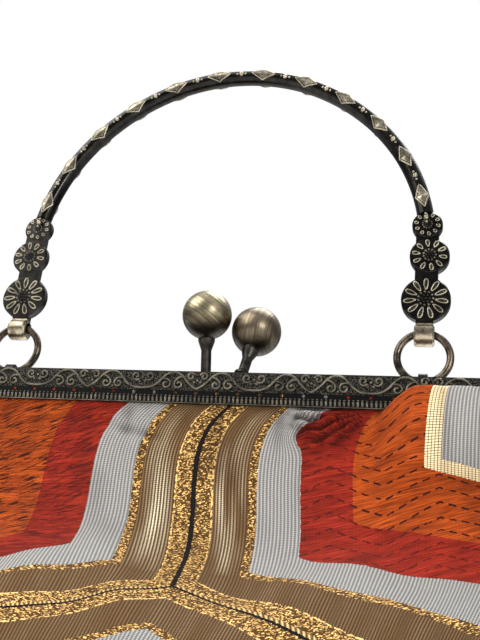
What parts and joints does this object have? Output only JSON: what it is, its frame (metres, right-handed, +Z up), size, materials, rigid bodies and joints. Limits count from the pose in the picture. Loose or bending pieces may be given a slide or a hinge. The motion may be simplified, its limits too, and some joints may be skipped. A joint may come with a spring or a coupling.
{
  "type": "kimono bag",
  "caption": "Soft brocade handbag on a hinged kiss-lock channel frame with crossed ball clasp and a cast arch handle hung on rings.",
  "frame": {"origin": "middle of the flat base, on the surface the bag stands on", "axes": "+X to the right side of the bag, -Y to the front, +Z up through the frame and the handle"},
  "size_m": [0.248, 0.12, 0.2937],
  "materials": {
    "antique_bronze": "antiqued, dark in the recesses and rubbed on the raised relief",
    "polished_bronze": "brushed antique bronze",
    "brocade": "woven silk brocade with metallic yarn in nested hexagon bands",
    "lining_cloth": "plain woven lining",
    "wadding_felt": "pressed felt wadding",
    "board": "pressed board"
  },
  "bodies": {
    "bag": {"rear_frame": "antique_bronze", "hinge_rivet_left": "polished_bronze", "hinge_rivet_right": "polished_bronze", "clasp_stem_rear": "antique_bronze", "clasp_ball_rear": "polished_bronze", "ring_eye_left": "antique_bronze", "ring_eye_right": "antique_bronze", "outer_front_panel": "brocade", "outer_rear_panel": "brocade", "outer_side_left": "brocade", "outer_side_right": "brocade", "outer_base": "brocade", "wadding": "wadding_felt", "base_board": "board", "lining_front": "lining_cloth", "lining_rear": "lining_cloth"},
    "front_half": {"front_frame": "antique_bronze", "clasp_stem_front": "antique_bronze", "clasp_ball_front": "polished_bronze"},
    "ring_left": {"ring_left": "antique_bronze"},
    "ring_right": {"ring_right": "antique_bronze"},
    "handle": {"handle": "antique_bronze"}
  },
  "joints": [
    {"name": "frame_open", "type": "hinge", "parent": "bag", "child": "front_half", "pos_m": [0, 0, 0.115], "axis": [1, 0, 0], "range_deg": [0, 55], "deforming": ["outer_front_panel", "lining_front"]},
    {"name": "ring_swing_left", "type": "hinge", "parent": "bag", "child": "ring_left", "pos_m": [-0.058, 0.00275, 0.19155], "axis": [1, 0, 0], "range_deg": [-60, 60]},
    {"name": "ring_swing_right", "type": "hinge", "parent": "bag", "child": "ring_right", "pos_m": [0.058, 0.00275, 0.19155], "axis": [1, 0, 0], "range_deg": [-60, 60]},
    {"name": "handle_swing", "type": "hinge", "parent": "ring_left", "child": "handle", "pos_m": [-0.058, 0.00275, 0.2051], "axis": [1, 0, 0], "range_deg": [-60, 60]}
  ],
  "couplings": [
    {"joint": "ring_swing_right", "follows": "ring_swing_left", "ratio": 1}
  ]
}
